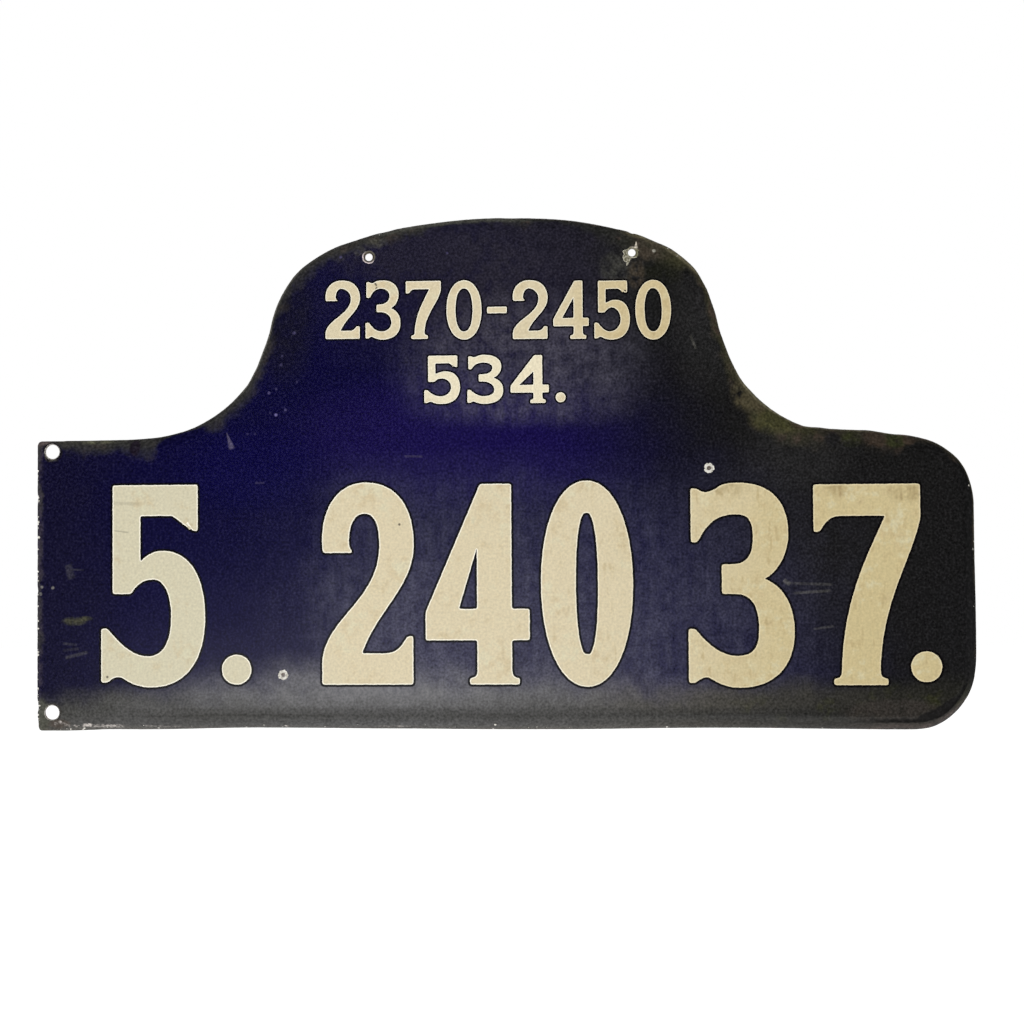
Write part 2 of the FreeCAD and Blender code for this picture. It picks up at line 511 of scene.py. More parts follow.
def set_stops(ramp, stops):
    """Fills a ramp with (place, colour) stops that ease into each other."""
    ramp.interpolation = "EASE"
    while len(ramp.elements) > 1:
        ramp.elements.remove(ramp.elements[-1])
    ramp.elements[0].position = stops[0][0]
    ramp.elements[0].color = stops[0][1]
    for place, colour in stops[1:]:
        ramp.elements.new(place).color = colour


class NodeSheet:
    """The nodes of one finish, of one shape or of the sky."""

    def __init__(self, tree):
        self.tree = tree
        tree.nodes.clear()

    def node(self, kind, settings=None, sockets=None, output=0):
        node = self.tree.nodes.new(kind)
        for name, value in (settings or {}).items():
            if name == "stops":
                set_stops(node.color_ramp, value)
            else:
                setattr(node, name, value)
        for name, value in (sockets or {}).items():
            connect(self.tree, node.inputs[name], value)
        return Signal(self.tree, node.outputs[output]) if node.outputs else None


def paint(red, green, blue):
    """A colour given as it looks on paper, 0 to 255."""
    parts = [part / 255 for part in (red, green, blue)]
    return (*[p / 12.92 if p < 0.04045 else ((p + 0.055) / 1.055) ** 2.4 for p in parts], 1.0)


class Finish(NodeSheet):
    """One finish, drawn in millimetres from the sheet's left end and bottom edge. Its colour
    is built up in layers."""

    def __init__(self, name, ground=None):
        self.material = bpy.data.materials.new(name)
        self.material.use_nodes = True
        super().__init__(self.material.node_tree)
        self.colour = ground
        self.spot = self.node("ShaderNodeTexCoord", output="Object")
        self.x, self.z = [
            self.node("ShaderNodeSeparateXYZ", sockets={"Vector": self.spot}, output=axis) * 1000 + start
            for axis, start in (("X", origin_x), ("Z", origin_z))]

    def stored(self, name):
        """A value that the mesh carries at each point."""
        return self.node("ShaderNodeAttribute", {"attribute_name": name}, output="Fac")

    def mix(self, colour, *layers):
        """A colour with others over it, each given with its share from 0 to 1."""
        for above, share in layers:
            sockets = {0: share, 6: colour, 7: above}
            colour = self.node("ShaderNodeMix", {"data_type": "RGBA", "clamp_factor": True}, sockets, 2)
        return colour

    def lay(self, colour, share, limit=1.0):
        """Lays a colour over what is there, by a share that is kept from 0 to the limit."""
        self.colour = self.mix(self.colour, (colour, share.least(limit) if limit < 1 else share))

    def shade(self, amount):
        """Makes the whole colour darker or lighter."""
        grey = self.node("ShaderNodeCombineColor", sockets={"Red": amount, "Green": amount, "Blue": amount})
        settings = {"data_type": "RGBA", "blend_type": "MULTIPLY"}
        self.colour = self.node("ShaderNodeMix", settings, {0: 1.0, 6: self.colour, 7: grey}, 2)

    def cloud(self, size, seed, stretch=(1, 1, 1), detail=3.0, roughness=0.55):
        """Soft uneven spots of about that size in millimetres, from 0 to 1."""
        scale = [1000 / size / part for part in stretch]
        sockets = {"Vector": self.spot, "Location": (seed * 3.7, seed * 1.9, seed * 5.3), "Scale": scale}
        place = self.node("ShaderNodeMapping", sockets=sockets)
        return self.node("ShaderNodeTexNoise", {"noise_dimensions": "3D"}, {
            "Vector": place, "Scale": 1.0, "Detail": detail, "Roughness": roughness}, "Fac")

    def graph(self, value, points):
        """The height at a value of a smooth line through (value, height) points."""
        first, last = points[0][0], points[-1][0]
        peak = max(height for place, height in points)
        stops = [((place - first) / (last - first), (height / peak,) * 3 + (1.0,))
                 for place, height in points]
        share = (value - first) / (last - first)
        return self.node("ShaderNodeValToRGB", {"stops": stops}, {"Fac": share}, "Color") * peak

    def island(self, x, z, half_width, half_height):
        """A soft patch: 1 in its middle, 0 at its rim and beyond."""
        off_x = (self.x - x) / half_width
        off_z = (self.z - z) / half_height
        return (off_x * off_x + off_z * off_z).fall(0.0, 1.0)

    def patches(self, *places):
        """Soft patches, each with its place, its half sizes, and its strength if that isn't 1."""
        total = 0.0
        for x, z, half_width, half_height, *strength in places:
            total = total + self.island(x, z, half_width, half_height) * (strength or [1.0])[0]
        return total

    def spots(self, *places):
        """Small round specks, each with its place and size, and its strength if it is faint."""
        return self.patches(*[(x, z, size, size, *strength) for x, z, size, *strength in places]).least(1.0)

    def marks(self, *lines):
        """Fine scratches, each with its start, end, width and strength, and its taper."""
        total = 0.0
        for start, end, width, strength, *taper in lines:
            total = total + self.scratch(start, end, width, *taper) * strength
        return total

    def scratch(self, start, end, width, taper=1.0):
        """A fine straight scratch between two points, that may start narrower than it ends."""
        run_x, run_z = end[0] - start[0], end[1] - start[1]
        length = math.hypot(run_x, run_z)
        off_x, off_z = self.x - start[0], self.z - start[1]
        forward = (off_x * (run_x / length) + off_z * (run_z / length)) / length
        aside = (off_x * (-run_z / length) + off_z * (run_x / length)).size()
        if taper < 1:
            aside = aside / (taper + forward * (1 - taper)).most(0.05)
        return aside.fall(width * 0.3, width) * (forward - 0.5).size().fall(0.38, 0.5)

    def bump(self, height, depth):
        """The normal of a surface whose height varies by so many millimetres."""
        sockets = {"Height": height, "Distance": depth * MM, "Strength": 1.0}
        return self.node("ShaderNodeBump", sockets=sockets)

    def surface(self, roughness, metallic, normal, specular=0.5):
        """The finished material, with its gloss and its uneven surface."""
        shader = self.node("ShaderNodeBsdfPrincipled", sockets={
            "Base Color": self.colour, "Roughness": roughness, "Metallic": metallic,
            "Specular IOR Level": specular, "Normal": normal})
        self.node("ShaderNodeOutputMaterial", sockets={"Surface": shader})
        return self.material


def blue_enamel():
    """Dark blue glass enamel, gone dull and black towards the right, hazy in the middle with some painted
    reflection, with grey bloom and a painted reflection of the floor along the bottom, and olive grime with
    painted reflection along its rolled edges, darkened at the very edge by painted shade."""
    coat = Finish("blue_enamel")
    inland = (1 - coat.stored("edge")) * edge_belt
    drift = coat.cloud(110, 1, detail=2) - 0.5
    blots = coat.cloud(24, 7, detail=4) - 0.5
    mottle = coat.cloud(8, 3, detail=4) - 0.5
    streaks = (coat.cloud(7, 4, stretch=(1, 1, 8)) - 0.5).rise(-0.16, 0.16)
    grain = coat.cloud(2.1, 2, detail=1, roughness=0.5) - 0.5
    x = coat.x + blots * 50
    z = coat.z + drift * 60

    def stain(colour, places, even, fine, broad=0.0, limit=1.0):
        """Lays a colour over soft patches, broken up by the fine and the broad spots."""
        coat.lay(colour, coat.patches(*places) * (even + mottle * fine + blots * broad), limit)

    # The blue itself: deep at the left, clearer over the large figures, black at the right
    coat.colour = coat.mix(paint(5, 3, 50), (paint(13, 11, 40), x.fall(15, 110) * 0.9))
    coat.lay(paint(18, 9, 68), coat.island(385, 252, 200, 75))
    coat.lay(paint(3, 0, 60), coat.island(190, 228, 80, 45) * 0.75)
    coat.lay(paint(22, 22, 22), (x + (z - 250) * 0.7).rise(425, 640))

    # Haze over the middle of the panel, thicker downwards, and over the hump: partly weathering of the
    # enamel, partly a painted reflection of the room
    across = coat.graph(x, [
        (60, 0.03), (168, 0.04), (222, 0.13), (275, 0.68), (329, 1.0), (383, 0.78), (490, 0.78),
        (544, 0.66), (597, 0.5), (651, 0.28), (704, 0.1), (758, 0.02)])
    upward = coat.graph(z, [(60, 1.0), (100, 0.88), (170, 0.5), (205, 0.28), (232, 0.08), (250, 0.0)])
    haze_and_sheen = across * upward * (0.72 + streaks * 0.3 + mottle * 1.4)
    coat.lay(paint(71, 71, 91), haze_and_sheen)
    crown_haze_and_sheen = coat.mix(
        paint(30, 28, 45), (paint(37, 35, 47), x.rise(320, 430)), (paint(33, 34, 33), x.rise(470, 540)))
    crown = [(335, 390, 130, 100, 0.4), (440, 385, 150, 110, 0.65), (318, 418, 80, 34, 0.6)]
    stain(crown_haze_and_sheen, crown, 1, 1.6)
    stain(paint(19, 18, 31), [(220, 362, 34, 74, 0.7)], 1, 1.6)
    stain(paint(40, 40, 41), [(588, 350, 44, 74, 0.5), (664, 240, 60, 44, 0.45)], 1, 1.6)
    stain(paint(66, 66, 61), [(511, 398, 20, 19, 0.5)], 1, 5)
    veil = coat.island(428, 312, 130, 80) * (0.24 + streaks * 0.2 + mottle * 0.9)
    coat.lay(paint(84, 82, 96), veil * (coat.z + blots * 12).rise(257, 275))

    # Grime and bloom along the bottom, with a wandering upper border. The pale bloom is partly a painted
    # reflection of the floor.
    border = coat.z + blots * 26 + drift * 30
    green = coat.x.rise(560, 640) * (blots * 2 + mottle).rise(0.05, 0.4) * 0.7
    low = coat.mix(paint(62, 62, 57), (paint(36, 36, 31), x.rise(420, 760)), (paint(44, 46, 22), green))
    sill = coat.graph(coat.x, [(0, 37), (100, 41), (180, 46), (813, 46)])
    coat.lay(low, (border - sill).fall(-22, 2) * 0.88)
    top = coat.graph(coat.x, [
        (0, 34), (60, 40), (105, 55), (160, 69), (330, 69), (420, 65), (620, 52), (813, 36)])
    strength = coat.graph(coat.x, [
        (0, 0.2), (60, 0.26), (114, 0.4), (168, 0.6), (222, 0.84), (275, 1.0), (329, 0.94), (383, 0.8),
        (436, 0.62), (490, 0.62), (544, 0.52), (597, 0.36), (651, 0.2), (704, 0.12), (758, 0.06)])
    downward = coat.graph(coat.z, [
        (0, 0.5), (5, 0.4), (9, 0.2), (13, 0.07), (17, 0.22), (23, 0.66), (34, 1.0)])
    bloom_and_sheen = (border - top).fall(-42, 2) * strength * (1 - (1 - downward) * coat.x.rise(10, 150))
    # The pale bloom: grey weathering bloom and a painted reflection of the floor
    pale = coat.mix(paint(118, 118, 121), (paint(116, 111, 99), x.rise(420, 620)))
    coat.lay(pale, bloom_and_sheen * (0.92 + mottle * 0.9))

    # The rolled edge below: a light lip that is a painted reflection of the floor, a tan stain, and round the
    # right corner a dark crease of painted shade above a light lower lip of painted reflection
    # Light lip along the bottom: painted reflection of the floor
    lip_sheen = (coat.z + mottle * 5).fall(2.0, 6.5) * coat.x.fall(430, 760)
    coat.lay(paint(100, 98, 94), lip_sheen * (0.5 + mottle * 2).least(1.0))
    tan = coat.island(742, 16, 54, 14).rise(0.0, 0.8) * (0.75 + mottle * 2.5)
    coat.lay(paint(53, 49, 46), tan, 0.85)
    # Round the right corner: a dark crease of painted shade, and a light lower lip of painted reflection
    corner_roll = coat.x.rise(690, 745) * coat.z.fall(30, 75)
    widened = coat.island(780, 12, 24, 22) * 5
    shaded_crease = (inland + mottle * 2).rise(6.8, 8.2) * (inland + mottle * 7 - widened).fall(9.0, 12.2)
    shaded_crease = shaded_crease * corner_roll
    coat.lay(paint(6, 5, 6), shaded_crease * 0.9)
    low_lip_sheen = (inland + mottle * 3).fall(4.6, 7.6) * corner_roll * coat.z.fall(12, 34)
    coat.lay(paint(80, 71, 68), low_lip_sheen * (0.6 + mottle * 2).least(1.0))
    seam = (coat.z + mottle * 2).fall(1.0, 2.2) * coat.x.fall(430, 760)
    coat.lay(paint(88, 86, 82), seam * 0.8)

    # Olive and brown grime in a belt of uneven width along the upper edges, partly a painted reflection in
    # the rolled edge, with painted shade at the very edge
    belt = coat.graph(coat.x, [
        (0, 4), (16, 5), (27, 14), (42, 12), (60, 15), (98, 18), (112, 9), (122, 3), (142, 5), (158, 16),
        (180, 16), (197, 11), (210, 8), (240, 14), (338, 13), (352, 7), (378, 6), (392, 9), (428, 10),
        (442, 7), (470, 8), (505, 19), (558, 20), (575, 6), (594, 9), (611, 13), (628, 22), (650, 22),
        (690, 16), (745, 15), (764, 6), (813, 3)])
    ragged_belt = (belt + blots * 22 + mottle * 9).most(1.5)
    grime_and_sheen = (inland / ragged_belt).fall(0.25, 1.2) * coat.z.rise(30, 90)
    brown = (blots * 2 + mottle * 2).rise(0.1, 0.5) * (0.3 + coat.x.rise(240, 440) * 0.5)
    olive_and_sheen = coat.mix(
        paint(52, 52, 46), (paint(58, 56, 38), coat.x.rise(430, 600)),
        (paint(44, 41, 32), coat.x.rise(650, 690)), (paint(38, 39, 36), coat.island(470, 446, 90, 60)),
        (paint(70, 57, 48), brown),
        (paint(30, 29, 27), (mottle * 2 - blots).rise(0.12, 0.45) * 0.8))
    coat.lay(olive_and_sheen, grime_and_sheen * 0.85)
    # Olive patches on the right side of the hump: grime with painted reflection
    stain(paint(64, 64, 34), [(649, 266, 32, 15, 0.9), (563, 405, 22, 12, 0.4)], 0.75, 3, 1, 0.8)
    stain(paint(74, 68, 49), [(623, 288, 20, 19)], 0.8, 4, 1, 0.8)
    # Darker at the very edge of the roll: painted shade
    rim = inland.fall(0.6, 3.2) * coat.z.rise(20, 60).most(coat.x.rise(650, 770))
    edge_shade = coat.graph(coat.x, [
        (0, 0.1), (105, 0.2), (165, 0.7), (285, 0.7), (300, 0.15), (425, 0.15), (450, 0.6), (515, 0.5),
        (545, 0.1), (600, 0.1), (640, 0.5), (700, 0.7), (813, 0.7)])
    coat.lay(paint(30, 27, 24), rim * edge_shade)
    # Light olive along the upper edge at the left: a painted highlight
    stain(paint(92, 93, 74), [(48, 255, 34, 5)], 0.5, 3)

    # Places along the upper edges where the enamel is rubbed thin or the grime is mossy or earthy. The grey
    # patch on the crown's top edge is partly painted reflection, and a pinkish line on the very edge at the
    # right is a painted highlight.
    brow = inland.fall(2.5, 6.5) * coat.island(548, 414, 46, 40).rise(0.0, 0.5)
    coat.lay(paint(84, 78, 58), brow * (0.75 + mottle * 2), 0.9)
    # Grey patch on the crown's top edge: grime and painted reflection
    top_edge = inland.fall(3.0, 6.5) * coat.island(366, 440, 76, 40).rise(0.0, 0.3)
    coat.lay(paint(74, 75, 69), top_edge * (0.7 + mottle * 3), 0.8)
    worn_rim = coat.graph(coat.x, [
        (0, 0.0), (150, 0.1), (170, 0.3), (184, 0.9), (203, 1.0), (222, 0.7), (250, 0.2), (520, 0.1),
        (532, 0.8), (574, 0.7), (590, 0.1), (602, 0.2), (620, 0.9), (668, 0.9), (690, 0.3), (735, 0.5),
        (770, 0.1), (813, 0.5)])
    widened = coat.patches((550, 412, 44, 34, 2.5), (626, 286, 30, 30, 1.8))
    fringe = (inland + mottle * 3 - widened).fall(1.0, 3.6) * worn_rim * coat.z.rise(110, 180)
    fringe_paint = coat.mix(paint(122, 120, 112), (paint(112, 107, 84), coat.x.rise(300, 500)))
    coat.lay(fringe_paint, fringe * (0.8 + mottle * 2), 0.9)
    moss = [(745, 248, 12, 9, 0.9), (708, 249, 11, 9, 0.6), (673, 256, 9, 5, 0.5)]
    stain(paint(46, 50, 24), moss, 1, 5, 0, 0.8)
    earth = [(728, 249, 13, 10, 0.8), (757, 247, 7, 5, 0.8), (664, 262, 9, 6, 0.6)]
    stain(paint(58, 47, 38), earth, 1, 6, 0, 0.75)
    stain(paint(24, 24, 27), [(692, 248, 9, 9)], 0.9, 5, 0, 0.8)
    stain(paint(24, 15, 30), [(86.7, 247.2, 6, 9)], 1.7, 5, 0, 0.85)
    post_edge = inland.fall(2.0, 7.0) * coat.x.fall(4, 9) * coat.z.rise(22, 36)
    coat.lay(paint(52, 47, 60), post_edge * (0.5 + mottle * 4), 0.9)
    # Pinkish line on the very edge towards the right: a painted highlight
    edge_glint = inland.fall(0.3, 2.2) * (mottle * 3 + blots * 2).rise(0.1, 0.6)
    coat.lay(paint(112, 92, 84), edge_glint * coat.x.rise(560, 640) * 0.6)

    # Worn rings round the end holes, lighter on one side and darker on the other, and rubbed corners
    for (hole_x, hole_z), lean_x, lean_z, dark, light, corner_paint in (
            (end_holes[0], -0.9, 0.3, paint(54, 53, 50), paint(92, 92, 82), paint(80, 79, 70)),
            (end_holes[1], -0.3, -0.9, paint(22, 20, 23), paint(72, 70, 60), paint(82, 72, 70))):
        off_x, off_z = coat.x - hole_x, coat.z - hole_z
        apart = (off_x * off_x + off_z * off_z) ** 0.5
        toward = (off_x * lean_x + off_z * lean_z) / 8
        ring = coat.mix(dark, (light, (toward + mottle * 3.5).rise(0.35, 1.05)))
        coat.lay(ring, (apart + mottle * 8).fall(7.6, 9.2) * 0.85)
        corner = coat.island(0, origin_z + (hole_z - origin_z) * 1.12, 20, 14)
        corner = corner * (corner * 1.5 + mottle * 5 - 0.2)
        coat.lay(corner_paint, corner.least(0.75) * apart.rise(7.5, 8.5))
    worn_end = coat.island(3, 14, 10, 17) * (1.4 + mottle * 4)
    coat.lay(paint(76, 77, 69), worn_end.least(0.85) * inland.rise(0.0, 1.0))
    stain(paint(76, 68, 62), [(20, 6, 12, 5)], 1.2, 4, 0, 0.8)

    # Patches and smears, and a dark patch of painted shade below the runs
    stain(paint(84, 83, 74), [(300, 424, 11, 6, 0.48), (286, 417, 7, 5, 0.48)], 0.9, 3, 0, 0.8)
    runs = coat.island(541, 415, 24, 15) * (0.6 + mottle * 3 + blots * 2)
    runs = runs + coat.island(526, 393, 9.5, 15) * (0.95 + mottle * 5)
    coat.lay(paint(62, 55, 46), runs, 0.85)
    # A dark patch below the runs: painted shade
    stain(paint(26, 27, 20), [(548, 394, 20, 14)], 0.7, 3, 0, 0.8)
    stain(paint(70, 70, 52), [(33, 95.8, 13, 4.8), (42.5, 98.2, 8, 2.8, 0.8)], 0.7, 3, 0, 0.8)

    # Scratches, splinters and specks, from the faint to the bright, and flakes along the bottom
    wedges = coat.marks(
        ((168, 260.5), (173.2, 244.8), 3.8, 0.68, 0.12), ((323.5, 237.6), (341, 237.2), 1.4, 0.35),
        ((193, 215.6), (202, 215.6), 1.4, 0.25))
    coat.lay(paint(92, 86, 112), wedges * (0.85 + mottle * 2).least(1.0))
    splinter = coat.scratch((526.5, 421.8), (526.1, 415.0), 2.2, 0.15)
    splinter = splinter + coat.island(523, 416.3, 3.2, 1.2) * 0.8
    coat.lay(paint(190, 182, 168), splinter * (0.8 + mottle * 2), 0.95)
    coat.lay(paint(100, 94, 142), coat.spots(
        (228, 346.3, 2.0, 0.35), (217.8, 326.3, 1.6, 0.15), (216.5, 318.5, 1.7, 0.25),
        (230.5, 303.4, 1.5, 0.2), (212, 297.5, 1.5, 0.25), (205.8, 294.1, 1.7, 0.5),
        (206.7, 276.6, 1.5, 0.15), (211.9, 274.8, 1.8, 0.9), (220.3, 279, 1.8, 0.35),
        (186.8, 258.4, 1.6, 0.15), (193.4, 258.4, 1.6, 0.15), (362.5, 414.2, 1.5, 0.3),
        (269.4, 412.3, 1.8, 0.4)))
    scuffs = coat.marks(
        ((44, 4.4), (78, 3.4), 2.0, 0.6), ((57, 4.4), (72, 4.0), 1.6, 0.3), ((19, 8.3), (30, 3.9), 1.8, 0.3),
        ((92, 4.0), (128, 3.2), 1.0, 0.3), ((300, 3.6), (330, 3.2), 1.0, 0.3))
    flakes = coat.patches(
        (44.4, 5.2, 5.4, 2.0), (41.8, 4.2, 2.4, 1.4), (34.2, 4.4, 2.4, 1.5), (16.4, 6.4, 1.8, 1.6),
        (20.4, 8.0, 2.0, 1.5), (62, 4.2, 2.2, 1.0), (219, 3.7, 3.0, 1.1), (253, 2.6, 1.2, 0.8))
    coat.lay(paint(186, 180, 176), (scuffs + flakes) * (0.62 + mottle * 3 + grain * 2.4))
    scratches = coat.marks(
        ((22, 76.5), (36, 75), 1.6, 0.09), ((22, 70), (38, 72), 1.7, 0.08), ((24, 63.5), (46, 69), 2.0, 0.12),
        ((27, 146), (31, 132), 4.6, 0.08), ((29, 141), (42, 140.6), 1.3, 0.07),
        ((571.8, 340), (577, 327), 1.6, 0.2), ((648, 126), (692, 124.5), 1.7, 0.12),
        ((656, 117.2), (690, 119.4), 1.7, 0.14), ((673, 86.5), (692, 89.3), 1.5, 0.10),
        ((649, 129), (655, 124.5), 2.6, 0.2))
    specks = coat.spots((4.0, 125.9, 1.7), (2.9, 119.8, 1.9), (13.7, 125.2, 1.8), (377, 165, 1.2),
                        (541.7, 413.2, 2.0))
    light = (scratches + specks).least(1.0) * (0.75 + mottle * 2.5).least(1.0)
    coat.lay(paint(172, 170, 160), light * 0.7)

    # The dark line round each figure, painted shade, and a fine grain over everything
    coat.lay(paint(7, 6, 7), coat.stored("shade").rise(0.0, 0.75) * 0.94)
    coat.lay(paint(96, 94, 99), grain * 0.16 + 0.004)
    coat.shade((1 + grain * (1.9 - bloom_and_sheen * 1.1) + mottle * 0.25).most(0.25))
    rough = 0.24 + haze_and_sheen * 0.12 + bloom_and_sheen * 0.15 + grime_and_sheen * 0.2 + inland.fall(5, 13) * coat.x.rise(20, 60) * 0.4
    waves = coat.cloud(60, 5, detail=1) * 0.7 + coat.cloud(7, 6, detail=2) * 0.035
    return coat.surface((rough + shaded_crease * 0.4).least(1.0), 0.0, coat.bump(waves, 0.35), 0.2)


def ground_coat():
    """The near-black ground enamel of the back, rubbed and rusted where it is thin."""
    coat = Finish("ground_coat", paint(34, 35, 40))
    broad = coat.cloud(70, 8)
    fine = coat.cloud(5, 9, detail=5)
    rust = (coat.cloud(26, 10, detail=5) * 0.6 + fine * 0.4).rise(0.57, 0.72)
    coat.lay(paint(58, 57, 56), broad.rise(0.35, 0.75))
    coat.lay(paint(92, 54, 32), rust * 0.8)
    coat.shade(0.75 + fine * 0.5)
    return coat.surface(0.3 + broad * 0.2 + rust * 0.4, 0.0, coat.bump(fine * 0.3 + rust * 0.5, 0.12))


def bare_steel():
    """Steel laid bare, bright where it is rubbed and brown where it has rusted."""
    coat = Finish("bare_steel", paint(176, 172, 170))
    fine = coat.cloud(1.6, 12, detail=4)
    coat.lay(paint(112, 100, 92), coat.cloud(5, 13).rise(0.4, 0.65))
    return coat.surface(0.35 + fine * 0.3, 0.55, coat.bump(fine, 0.12))


def pale_coat():
    """The pale coat under the blue, shown along the broken edges, shaded where it lies deep. Round the hump
    holes it has painted light on one side and painted shade on the other.
    """
    coat = Finish("pale_coat", paint(226, 224, 218))
    fine = coat.cloud(1.8, 15, detail=4)
    coat.lay(paint(168, 164, 152), fine.rise(0.4, 0.7))
    sunk = (coat.stored("depth") / MM).rise(0.18, 0.28)
    # Round each hump hole: painted light on one side, painted shade on the other, and painted shade where the
    # chip lies deep
    for (hole_x, hole_z), light, dark in (
            (hump_holes[0], paint(222, 208, 212), paint(84, 80, 80)),
            (hump_holes[1], paint(206, 202, 186), paint(134, 132, 106))):
        lean = (coat.x - hole_x) * 0.75 + (coat.z - hole_z) * 0.65
        shaded = coat.mix(
            light, (dark, (lean + (fine - 0.5) * 8).rise(-2.6, 1.6)),
            (paint(92, 89, 68), sunk * (0.8 + (fine - 0.5) * 2.4)))
        coat.lay(shaded, coat.island(hole_x, hole_z, 22, 22).rise(0.0, 0.1))
    return coat.surface(0.55, 0.0, coat.bump(fine, 0.1))


def rusted_steel():
    """Steel laid bare long ago, brown and dull, with a few bright rubs."""
    coat = Finish("rusted_steel", paint(58, 50, 44))
    fine = coat.cloud(1.4, 17, detail=4)
    coat.lay(paint(128, 116, 108), fine.rise(0.52, 0.72))
    return coat.surface(0.6, 0.2, coat.bump(fine, 0.15))


coat_finishes = {BLUE: blue_enamel(), BACK: ground_coat(), STEEL: bare_steel(), PALE: pale_coat(),
                 RUST: rusted_steel()}


class ShapeTree(NodeSheet):
    """Geometry nodes that work on one given shape, with a named input for each size."""

    def __init__(self, name, sizes):
        super().__init__(bpy.data.node_groups.new(name, "GeometryNodeTree"))
        sockets = self.tree.interface
        sockets.new_socket("Given", in_out="INPUT", socket_type="NodeSocketGeometry")
        for size in sizes:
            sockets.new_socket(size, in_out="INPUT", socket_type="NodeSocketFloat")
        sockets.new_socket("Made", in_out="OUTPUT", socket_type="NodeSocketGeometry")
        outputs = self.tree.nodes.new("NodeGroupInput").outputs
        self.given, *self.sizes = [Signal(self.tree, outputs[index]) for index in range(1 + len(sizes))]

    def stored(self, name, kind="FLOAT"):
        """A value that the mesh carries at each point or face."""
        return self.node("GeometryNodeInputNamedAttribute", {"data_type": kind}, {"Name": name})

    def vector(self, operation, sockets, output=0):
        return self.node("ShaderNodeVectorMath", {"operation": operation}, sockets, output)

    def shape(self, piece, made, values):
        """Puts the tree on a piece with these sizes, and bakes what it makes into a plain mesh."""
        connect(self.tree, self.tree.nodes.new("NodeGroupOutput").inputs[0], made)
        modifier = piece.modifiers.new("shape", "NODES")
        modifier.node_group = self.tree
        for item in self.tree.interface.items_tree:
            if item.in_out == "INPUT" and item.name in values:
                modifier[item.identifier] = values[item.name]
        bpy.context.view_layer.update()
        seen = piece.evaluated_get(bpy.context.evaluated_depsgraph_get())
        mesh = bpy.data.meshes.new_from_object(seen)
        piece.modifiers.clear()
        piece.data = mesh
        return mesh


def roll_edge(piece, sizes):
    """Rolls the blank's edge back, as the press did, and gives each face its coat."""
    sheet = ShapeTree("roll_the_edge", sizes)
    face, whole, uneven = sheet.sizes
    wave = sheet.node("ShaderNodeTexNoise", {"noise_dimensions": "3D"}, {
        "Vector": sheet.node("GeometryNodeInputPosition"), "Scale": 9.0, "Detail": 1.0}, "Fac")
    turn = (sheet.stored("turn") * whole * (1 - wave.rise(0.35, 0.7) * uneven)).most(0.002)
    angle = sheet.stored("share") * turn
    bend = sheet.stored("reach") / turn.sum("SINE", turn)
    radius = bend - sheet.stored("depth")
    out = radius * angle.sum("SINE", angle)
    back = face + bend - radius * angle.sum("COSINE", angle)
    shift = sheet.vector("SCALE", {"Vector": sheet.stored("outward", "FLOAT_VECTOR"), "Scale": out})
    offset = sheet.vector("ADD", {0: shift, 1: sheet.node("ShaderNodeCombineXYZ", sockets={"Y": back})})
    geometry = sheet.node("GeometryNodeSetPosition", sockets={"Geometry": sheet.given, "Offset": offset})
    coat = sheet.stored("coat", "INT")
    for number, finish in coat_finishes.items():
        chosen = sheet.node("FunctionNodeCompare", {"data_type": "INT", "operation": "EQUAL"}, {
            2: coat, 3: number})
        geometry = sheet.node("GeometryNodeSetMaterial", sockets={
            "Geometry": geometry, "Selection": chosen, "Material": finish})
    geometry = sheet.node("GeometryNodeRealizeInstances", sockets={"Geometry": geometry})
    return sheet.shape(piece, geometry, sizes)


def store(mesh, name, kind, domain, key, values):
    """Writes one value for each point or face of a mesh."""
    layer = mesh.attributes.new(name, kind, domain)
    flat = [part for value in values for part in value] if kind == "FLOAT_VECTOR" else values
    layer.data.foreach_set(key, flat)


def in_scene(name, data):
    """A new object in the scene, at its origin until it is moved."""
    made = bpy.data.objects.new(name, data)
    bpy.context.scene.collection.objects.link(made)
    return made


sheet_mesh = bpy.data.meshes.new("enamelled_sheet")
sheet_mesh.from_pydata(blank.places, [], blank.faces)
store(sheet_mesh, "outward", "FLOAT_VECTOR", "POINT", "vector", blank.outward)
for attribute in ("reach", "share", "turn", "depth", "edge", "wear"):
    store(sheet_mesh, attribute, "FLOAT", "POINT", "value", getattr(blank, attribute))
store(sheet_mesh, "coat", "INT", "FACE", "value", blank.coats)
enamelled_sheet = in_scene("enamelled_sheet", sheet_mesh)
sheet_mesh = roll_edge(enamelled_sheet, {"Face": face_y * MM, "Full turn": full_turn, "Unevenness": 0.12})

for polygon in sheet_mesh.polygons:
    polygon.use_smooth = abs(polygon.normal.y) < 0.99999 and polygon.material_index < 2
sheet_mesh.update()
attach(enamelled_sheet, "root")
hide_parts("sign_plate")

# Edge chips
# Small chips of the pale coat, where knocks have sprung the blue off the edge. They are
# thin flakes, scattered more thickly where the edge is worn, and laid on the sheet.


